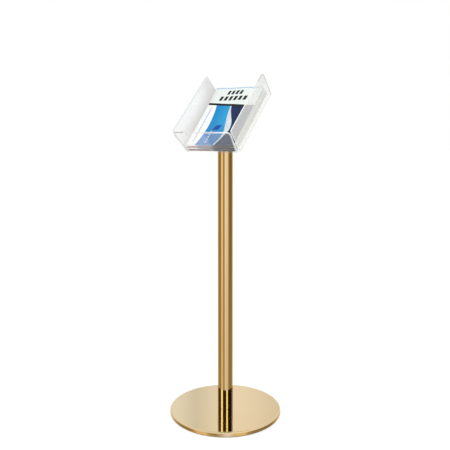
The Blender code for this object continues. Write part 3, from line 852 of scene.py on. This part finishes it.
def add_panel(bm):
    """The back panel, cut round the notches. Returns where the lip and the walls go on from."""
    half_flat = TRAY_HALF - BEND_RADIUS
    widths = (-LIP_FOOT, LIP_BAND - LIP_FOOT, LIP_FOOT - LIP_BAND, LIP_FOOT)
    lip_start = [bm.verts.new((x, BEND_RADIUS, 0.0)) for x in widths]
    notch = [bm.verts.new((side * LIP_FOOT, NOTCH, 0.0)) for side in (-1, 1)]
    lengths = (NOTCH, NOTCH + WALL_BAND, TRAY_LENGTH - WALL_BAND, TRAY_LENGTH)
    left, right = ([bm.verts.new((side * half_flat, y, 0.0)) for y in lengths] for side in (-1, 1))
    outline = [left[0], notch[0], *lip_start, notch[1], *right[:3], *left[2:0:-1]]
    bm.faces.new(outline[::-1]).material_index = PANEL
    add_faces(bm, [left[2], right[2]], [left[3], right[3]], BAND, flip=True)
    return lip_start, left, right


def add_wall(bm, side, line, slot):
    """One bend and its wall, from a line of vertices along the panel's side, front to back."""
    flip = side == -1
    lengths = [vertex.co.y for vertex in line]
    centre = (TRAY_HALF - BEND_RADIUS, BEND_RADIUS)
    turns = arc(centre, BEND_RADIUS, -math.pi / 2, -WALL_FLARE, BEND_STEPS)
    for x, z in turns[1:]:
        above = [bm.verts.new((side * x, y, z)) for y in lengths]
        add_strip(bm, line, above, slot, flip)
        line = above
    foot_x, foot_z = turns[-1]
    top = foot_z + WALL_RUN * math.cos(WALL_FLARE) - ACRYLIC * math.sin(WALL_FLARE)
    radius = BACK_CORNER_RADII[side]
    back = (TRAY_LENGTH - radius, top - radius)
    front = (NOTCH + FRONT_CORNER_RADIUS, top - FRONT_CORNER_RADIUS)
    lean = math.tan(WALL_FLARE)
    outlines = []
    for inset in (0.0, WALL_BAND):
        outline = arc(back, radius - inset, 0.0, math.pi / 2, 10)
        outline += arc(front, FRONT_CORNER_RADIUS - inset, math.pi / 2, math.pi, 8)
        points = [(side * (foot_x + (z - foot_z) * lean), y, z) for y, z in outline]
        outlines.append([bm.verts.new(point) for point in points])
    outer, inner = outlines
    add_faces(bm, [line[3], *outer, line[0]], [line[2], *inner, line[1]], BAND, flip)
    sheet = [line[1], line[2], *inner]
    bm.faces.new(sheet[::-1] if flip else sheet).material_index = slot


def add_lip(bm, line):
    """The front bend and the lip, from a line of vertices along the panel's front edge."""
    centre = (BEND_RADIUS, BEND_RADIUS)
    for y, z in arc(centre, BEND_RADIUS, -math.pi / 2, -math.pi, BEND_STEPS)[1:]:
        outer, inner = lip_half(z, 0.0), lip_half(z, LIP_BAND)
        above = [bm.verts.new((x, y, z)) for x in (-outer, -inner, inner, outer)]
        add_strip(bm, line, above, LIP)
        line = above
    outlines = []
    for inset in (0.0, LIP_BAND):
        corner = lip_corner(inset)
        outline = corner + [(-x, z) for x, z in reversed(corner)]
        outlines.append([bm.verts.new((x, 0.0, z)) for x, z in outline])
    outer, inner = outlines
    add_faces(bm, [line[3], *outer, line[0]], [line[2], *inner, line[1]], BAND)
    bm.faces.new([line[1], line[2], *inner]).material_index = LIP


def build_tray(materials):
    """One folded sheet, drawn as its outer surface and thickened inwards."""
    bm = bmesh.new()
    lip_start, left, right = add_panel(bm)
    add_wall(bm, -1, left, LEFT_WALL)
    add_wall(bm, 1, right, RIGHT_WALL)
    add_lip(bm, lip_start)
    tray = new_object("tray_sheet", bm, materials, as_drawn=True)
    thick = tray.modifiers.new("thickness", "SOLIDIFY")
    thick.thickness = ACRYLIC
    thick.offset = -1.0
    thick.use_even_offset = True
    thick.material_offset_rim = EDGE
    soften(tray, TRAY_EDGE_BREAK, 3, EDGE)
    head_top = ACRYLIC - FIT_GAP
    countersink = [
        (SCREW_HEAD_HOLE, ACRYLIC + 0.001),
        (SCREW_HEAD_HOLE, head_top),
        (SCREW_HOLE, head_top - SCREW_HEAD_HEIGHT),
        (SCREW_HOLE, -0.002),
    ]
    cutter = screw_cutter("countersinks", countersink)
    cut(tray, cutter)
    apply_modifiers(tray, 40.0)
    drop(cutter)
    store_place(tray.data, TRAY_SIZE)
    settle(tray, "head", ["tray"], TRAY_PLACE)


# ---- booklets
def curl(x, y, amount):
    """How far the top sheet lifts, x and y from 0 to 1: most at the far spine corner, in soft waves."""
    full_turn = 2 * math.pi
    far = max(0.0, (y - 0.35) / 0.65) ** 2
    wave = 0.88 - 0.62 * x + 0.12 * math.sin(full_turn * (1.9 * x + 0.1))
    open_side = max(0.0, (x - 0.75) / 0.25) ** 2
    open_side *= 0.1 + 0.05 * math.sin(full_turn * (0.9 * y + 0.3))
    ripple = 0.03 * math.sin(full_turn * (1.1 * y + 0.4 * x))
    return amount * (far * wave + open_side + ripple + 0.03)


def booklet_frame(node):
    """The booklet's own axes in the row frame, and its size, from its CAD node and its turn."""
    turn = math.radians(BOOKLET_TURNS[node])
    across = X_AXIS * math.cos(turn) + SLOPE * math.sin(turn)
    along = NORMAL.cross(across)
    lows, highs = zip(*(reach(node, axis) for axis in (across, along, NORMAL)))
    origin = across * lows[0] + along * lows[1] + NORMAL * lows[2]
    size = Vector(high - low for low, high in zip(lows, highs))
    return Matrix.Translation(origin) @ Matrix((across, along, NORMAL)).transposed().to_4x4(), size


def store_place(mesh, size):
    """Keeps each point's place, as shares of a piece's size, for its material."""
    layer = mesh.attributes.new("place", "FLOAT_VECTOR", "POINT")
    for point, vertex in zip(layer.data, mesh.vertices):
        point.vector = (vertex.co.x / size.x, vertex.co.y / size.y, vertex.co.z / size.z)


def lift_sheets(mesh, size, amount):
    """Curls a booklet, its top sheet the most."""
    for vertex in mesh.vertices:
        share = max(0.0, vertex.co.z / size.z) ** 2
        vertex.co.z += share * curl(vertex.co.x / size.x, vertex.co.y / size.y, amount)


FLAT_STEPS = 24  # across a cover's flat
COVER_ROWS = 40


def spine_turn(radius, inside, thickness):
    """Two quarter turns round the spine, up from the back cover to the front one."""
    around = arc((radius, radius), inside, 1.5 * math.pi, math.pi, 6)
    return around + arc((radius, thickness - radius), inside, math.pi, math.pi / 2, 6)


def cover_lines(size):
    """The cover's section, outside and inside, from the back's open edge round to the front's."""
    thickness = size.z
    spine = min(thickness / 2, 0.003) * 0.98
    flat = [size.x * k / FLAT_STEPS for k in range(FLAT_STEPS, 0, -1)]
    outer = [(x, 0.0) for x in flat]
    outer += spine_turn(spine, spine, thickness)
    outer += [(x, thickness) for x in reversed(flat)]
    inner = [(x, COVER_PAPER) for x in flat]
    inner += spine_turn(spine, spine - COVER_PAPER, thickness)
    inner += [(x, thickness - COVER_PAPER) for x in reversed(flat)]
    return outer, inner


FRONT_ART, COVER_REST, INSIDE = range(3)


def build_cover(node, size, amount, materials):
    bm = bmesh.new()
    lines = cover_lines(size)
    grid = []
    for j in range(COVER_ROWS + 1):
        y = size.y * j / COVER_ROWS
        grid.append([[bm.verts.new((x, y, z)) for x, z in line] for line in lines])
    last = len(lines[0]) - 1
    front_start = last - FLAT_STEPS
    for before, after in zip(grid, grid[1:]):
        (outer, inner), (next_outer, next_inner) = before, after
        for k in range(last):
            face = bm.faces.new((outer[k], outer[k + 1], next_outer[k + 1], next_outer[k]))
            face.material_index = FRONT_ART if k >= front_start else COVER_REST
            face = bm.faces.new((inner[k + 1], inner[k], next_inner[k], next_inner[k + 1]))
            face.material_index = INSIDE
        for k in (0, last):
            ends = (outer[k], inner[k], next_inner[k], next_outer[k])
            bm.faces.new(ends).material_index = INSIDE
    for outer, inner in (grid[0], grid[-1]):
        for k in range(last):
            quad = (outer[k], inner[k], inner[k + 1], outer[k + 1])
            bm.faces.new(quad).material_index = INSIDE
    cover = new_object(f"{node}_cover", bm, materials)
    store_place(cover.data, size)
    lift_sheets(cover.data, size, amount)
    return cover


def build_pages(node, size, amount, material, seed):
    """Slabs of a few leaves each, none cut quite level with the next."""
    shuffle = random.Random(seed)
    paper = COVER_PAPER + 0.00005
    slabs = max(5, round(size.z / 0.0006))
    step = (size.z - 2 * paper) / slabs
    spine = 0.0012
    bm = bmesh.new()
    for k in range(slabs):
        low = paper + step * k
        high = low + step
        shift = Vector((shuffle.uniform(-0.00025, 0.0), shuffle.uniform(0.0, 0.0003), 0.0))
        far = shuffle.uniform(-0.0006, 0.0)
        slab(bm, (spine, shift.y, low), (size.x - 0.0002 + shift.x, size.y + far, high))
    pages = new_object(f"{node}_pages", bm, [material])
    store_place(pages.data, size)
    lift_sheets(pages.data, size, amount)
    return pages


def slab(bm, low, high, columns=10, rows=16):
    """A closed flat box whose upper and lower faces are grids."""
    across = [low[0] + (high[0] - low[0]) * i / columns for i in range(columns + 1)]
    along = [low[1] + (high[1] - low[1]) * j / rows for j in range(rows + 1)]
    rims = []
    for z in (low[2], high[2]):
        sheet = [[bm.verts.new((x, y, z)) for x in across] for y in along]
        for before, after in zip(sheet, sheet[1:]):
            for i in range(columns):
                bm.faces.new((before[i], before[i + 1], after[i + 1], after[i]))
        rim = sheet[0][:-1] + [row[-1] for row in sheet[:-1]]
        rim += sheet[-1][:0:-1] + [row[0] for row in sheet[:0:-1]]
        rims.append(rim)
    skin(bm, rims[0], rims[1])


RED = (0.3, 0.06, 0.085)
RED_DEEP = (0.21, 0.04, 0.06)
CHARCOAL = (0.035, 0.042, 0.04)
STACK = {
    "booklet_bottom": {
        "front": plain_cover((0.04, 0.042, 0.046), (0.06, 0.062, 0.066)),
        "rest": (0.05, 0.05, 0.055),
        "page_edges": [  # along X, each going dark towards X = 1 as painted shade
            (0.0, (0.16, 0.05, 0.03)), (0.5, (0.1, 0.05, 0.03)), (0.62, (0.05, 0.06, 0.09)),
            (1.0, (0.03, 0.04, 0.06)),
        ],
    },
    "booklet_lower": {
        "front": plain_cover(RED, RED_DEEP),
        "rest": RED,
        "page_edges": [
            (0.0, (0.27, 0.01, 0.03)), (0.35, (0.24, 0.01, 0.03)), (0.55, (0.15, 0.08, 0.09)),
            (0.7, (0.1, 0.12, 0.15)), (1.0, (0.07, 0.08, 0.1)),
        ],
    },
    "booklet_middle": {
        "front": plain_cover((0.72, 0.73, 0.72), (0.8, 0.81, 0.8)),
        "rest": (0.75, 0.76, 0.75),
        "page_edges": [
            (0.0, (0.98, 1.0, 0.94)), (0.2, (0.98, 1.0, 0.94)), (0.27, (0.4, 0.44, 0.49)),
            (0.5, (0.12, 0.12, 0.13)), (1.0, (0.04, 0.05, 0.04)),
        ],
    },
    "booklet_upper": {
        "front": plain_cover(RED_DEEP, RED),
        "rest": RED_DEEP,
        "page_edges": [
            (0.0, (0.34, 0.04, 0.06)), (0.15, (0.29, 0.01, 0.03)), (0.45, (0.2, 0.01, 0.03)),
            (0.56, CHARCOAL), (1.0, (0.012, 0.016, 0.016)),
        ],
    },
    "booklet_top": {
        "curl": 0.0068,
        "front": holiday_cover,
        "rest": (0.75, 0.78, 0.8),
        "page_edges": [
            (0.0, (0.94, 0.96, 0.94)), (0.2, (0.86, 0.88, 0.88)), (0.27, (0.36, 0.42, 0.54)),
            (0.58, (0.26, 0.31, 0.42)), (0.66, (0.1, 0.09, 0.11)), (1.0, (0.05, 0.05, 0.07)),
        ],
    },
}


def build_booklets():
    papers = (0.78, 0.79, 0.78), (0.86, 0.87, 0.86)
    inside = plain_material("cover_inside", *papers, 900.0, (0.5, 0.65), 0.05)
    for seed, (node, looks) in enumerate(STACK.items(), start=3):
        place, size = booklet_frame(node)
        darker = [channel * 0.9 for channel in looks["rest"]]
        art = cover_material(f"{node}_front", looks["front"])
        rest = cover_material(f"{node}_back", plain_cover(looks["rest"], darker))
        edges = page_edge_material(f"{node}_edges", size.z, looks["page_edges"])
        amount = looks.get("curl", 0.0)
        cover = build_cover(node, size, amount, [art, rest, inside])
        pages = build_pages(node, size, amount, edges, seed)
        for piece in (cover, pages):
            apply_modifiers(piece, 40.0)
            settle(piece, node, [node], place)


# ---- studio
TOWARD_CAMERA = Vector((math.sin(CAMERA_YAW), -math.cos(CAMERA_YAW), 0.0))
CAMERA_RIGHT = Vector((math.cos(CAMERA_YAW), math.sin(CAMERA_YAW), 0.0))

# What lies round the rack, by bearing in degrees: 0 is where the camera stands, and
# positive bearings are to the right. Low: near the floor. Far: beyond the rack, 0 straight beyond.
LOW_ROOM = (
    (-180, (0.55, 0.48, 0.4)), (-150, (0.9, 0.85, 0.7)),
    (-128, (0.5, 0.46, 0.4)), (-104, (0.24, 0.19, 0.12)),
    (-82, (0.26, 0.17, 0.08)), (-70, (0.45, 0.33, 0.18)),
    (-60, (0.95, 0.74, 0.45)), (-42, (0.92, 0.84, 0.6)),
    (-32, (0.42, 0.33, 0.19)), (-20, (0.28, 0.22, 0.14)),
    (-8, (0.62, 0.58, 0.6)), (0, (0.92, 1.0, 1.45)),
    (9, (0.95, 1.05, 1.5)), (17, (0.8, 0.78, 0.7)),
    (26, (0.88, 0.8, 0.6)), (40, (0.92, 0.84, 0.58)),
    (48, (0.45, 0.36, 0.22)), (60, (0.24, 0.18, 0.11)),
    (95, (0.14, 0.12, 0.09)), (114, (0.24, 0.18, 0.11)),
    (130, (0.7, 0.5, 0.3)), (152, (0.85, 0.7, 0.5)),
    (180, (0.55, 0.48, 0.4)),
)
FAR_WALL = (
    (-180, (0.86, 0.9, 1.0)), (-100, (0.72, 0.76, 0.86)),
    (-60, (0.88, 0.92, 1.02)), (-25, (0.78, 0.82, 0.92)),
    (-6.5, (0.88, 0.95, 1.13)), (-4.6, (0.83, 0.91, 1.08)),
    (-2.8, (0.68, 0.73, 0.84)), (-1.7, (0.76, 0.82, 0.93)),
    (-0.8, (0.86, 0.9, 1.02)), (1.7, (0.88, 0.91, 1.02)),
    (3.2, (0.83, 0.86, 0.96)), (5.0, (0.73, 0.75, 0.82)),
    (9, (0.8, 0.82, 0.9)), (35, (0.9, 0.93, 1.0)),
    (70, (0.74, 0.78, 0.86)), (120, (0.9, 0.94, 1.04)),
    (180, (0.86, 0.9, 1.0)),
)
DEEP_ROOM = (  # what two reflections in a row see
    (-180, (0.9, 0.9, 0.7)), (-172, (0.9, 0.9, 0.7)),
    (-166, (0.06, 0.05, 0.03)), (-148, (0.1, 0.08, 0.05)),
    (-140, (0.45, 0.4, 0.29)), (-128, (0.45, 0.4, 0.29)),
    (-116, (0.05, 0.03, 0.02)), (-70, (0.04, 0.02, 0.01)),
    (-65, (1.3, 1.6, 1.7)), (-42, (1.2, 1.5, 1.5)),
    (-37, (0.04, 0.03, 0.01)), (14, (0.03, 0.02, 0.01)),
    (18, (1.25, 1.55, 1.55)), (37, (1.25, 1.55, 1.55)),
    (41, (0.01, 0.005, 0.005)), (104, (0.01, 0.01, 0.01)),
    (116, (0.12, 0.08, 0.05)), (130, (0.45, 0.4, 0.29)),
    (142, (0.45, 0.4, 0.29)), (150, (0.06, 0.05, 0.03)),
    (172, (0.1, 0.08, 0.05)), (180, (0.9, 0.9, 0.7)),
)


def bearing_ramp(nodes, side, toward, stops):
    bearing = nodes.math("DIVIDE", nodes.math("ARCTAN2", side, toward), 2 * math.pi)
    place = nodes.math("ADD", bearing, 0.5)
    return nodes.ramp(place, [(degrees / 360 + 0.5, colour) for degrees, colour in stops])


def build_world():
    world = bpy.data.worlds.new("studio")
    world.use_nodes = True
    world.cycles.sampling_method = "NONE"
    nodes = Nodes(world.node_tree)
    direction = nodes.new("ShaderNodeTexCoord", output="Generated")
    height = nodes.split(direction)[2]
    toward = nodes.dot(direction, TOWARD_CAMERA)
    beyond = nodes.dot(direction, -TOWARD_CAMERA)
    side = nodes.dot(direction, CAMERA_RIGHT)
    low = bearing_ramp(nodes, side, toward, LOW_ROOM)
    dulled = nodes.scaled(nodes.between(height, -0.05, -0.42), 0.0, 0.35)
    low = nodes.mix(dulled, low, (0.42, 0.34, 0.22))
    far = bearing_ramp(nodes, side, beyond, FAR_WALL)
    deep = bearing_ramp(nodes, side, toward, DEEP_ROOM)
    path = world.node_tree.nodes.new("ShaderNodeLightPath").outputs
    room = nodes.mix(nodes.between(height, -0.02, 0.05), low, far)
    room = nodes.mix(nodes.math("GREATER_THAN", path["Ray Depth"], 2.5), room, deep)
    room = nodes.mix(path["Is Diffuse Ray"], room, DIFFUSE_FILL)
    room = nodes.mix(path["Is Camera Ray"], room, BACKDROP_WHITE)
    nodes.feed(world.node_tree.nodes["Background"].inputs["Color"], room)
    bpy.context.scene.world = world


def build_floor():
    bm = bmesh.new()
    bmesh.ops.create_circle(bm, cap_ends=True, segments=64, radius=30.0)
    material, nodes, shader = new_material("pale_floor", Roughness=0.9, Emission_Strength=0.8)
    cloud = nodes.noise(nodes.object_place(), 2.0)
    colour = nodes.mix(cloud, (0.24, 0.24, 0.24), (0.26, 0.26, 0.26))
    nodes.feed(shader.inputs["Base Color"], colour)
    nodes.feed(shader.inputs["Emission Color"], opaque(BACKDROP_WHITE))
    floor = new_object("floor", bm, [material])
    floor.visible_glossy = False


LIGHTS_AIM = Vector((0.0, 0.0, 0.9))
LIGHTS = (  # name, place, size, watts
    ("key_light", Vector((-0.9, -2.4, 3.4)), 2.2, 68.0),
    ("side_light", Vector((2.8, 0.4, 2.6)), 2.0, 27.0),
)


def build_lights():
    for name, place, size, power in LIGHTS:
        light = bpy.data.lights.new(name, "AREA")
        light.size = size
        light.energy = power
        lamp = linked(name, light)
        lamp.location = place
        lamp.rotation_euler = (LIGHTS_AIM - place).to_track_quat("-Z", "Y").to_euler()
        lamp.visible_glossy = False
        lamp.visible_camera = False


def build_camera():
    camera = bpy.data.cameras.new("camera")
    camera.lens = CAMERA_LENS
    camera.sensor_width = 36.0
    camera.shift_x, camera.shift_y = CAMERA_SHIFT
    camera.clip_end = 100.0
    holder = linked("camera", camera)
    holder.location = CAMERA_PLACE
    holder.rotation_euler = (math.pi / 2 - CAMERA_PITCH, 0.0, CAMERA_YAW)
    bpy.context.scene.camera = holder


RUBBER = (0.012, 0.012, 0.013), (0.03, 0.03, 0.031)
NYLON = (0.74, 0.74, 0.71), (0.84, 0.84, 0.81)


def dress_cad_nodes(steel):
    """Finishes for the CAD nodes that stay: fixings, weight, pads and bush."""
    finishes = {
        "iron": iron_material(),
        "rubber": plain_material("black_rubber", *RUBBER, 900.0, (0.75, 0.95), 0.3),
        "nylon": plain_material("white_nylon", *NYLON, 600.0, (0.38, 0.55), 0.1),
        "steel": steel,
    }
    for part in frame["record"]["subparts"]:
        finish = finishes.get(part["material_slot"])
        if finish:
            for slot in frame["nodes"][part["node"]].material_slots:
                slot.material = finish


def build():
    build_camera()
    base_gold = gold_material("spun_gold", spun_grain, 0.065)
    post_gold = gold_material("drawn_gold", drawn_grain, 0.06)
    head_gold = gold_material("plate_gold", plate_grain, 0.1)
    steel = steel_material()
    build_base(base_gold)
    build_post(post_gold)
    build_hub(post_gold)
    build_plate(head_gold)
    build_cap_nuts(steel)
    # Each sheet's veil paints its light and shade; the right wall and the bands also glow, as painted light.
    left = acrylic_material("acrylic_left", 0.22, left_veil_painted_shade)
    right = acrylic_material("acrylic_right", 0.39, right_veil_painted_light, glow_share=0.5)
    lip = acrylic_material("acrylic_lip", 0.14, lip_veil_painted_reflection)
    panel = acrylic_material("acrylic_panel", 0.12, panel_veil)
    band = acrylic_material("acrylic_band", 0.5, band_veil_painted_light, glow_share=0.6)
    edge = acrylic_material("acrylic_edge", 0.74, edge_veil_painted_reflections, 0.1)
    build_tray([left, right, lip, panel, band, edge])
    build_booklets()
    dress_cad_nodes(steel)
    build_floor()
    build_lights()
    build_world()
    scene = bpy.context.scene
    scene.view_settings.view_transform = "Standard"
    scene.cycles.transparent_max_bounces = 48
    scene.cycles.max_bounces = 16


build()
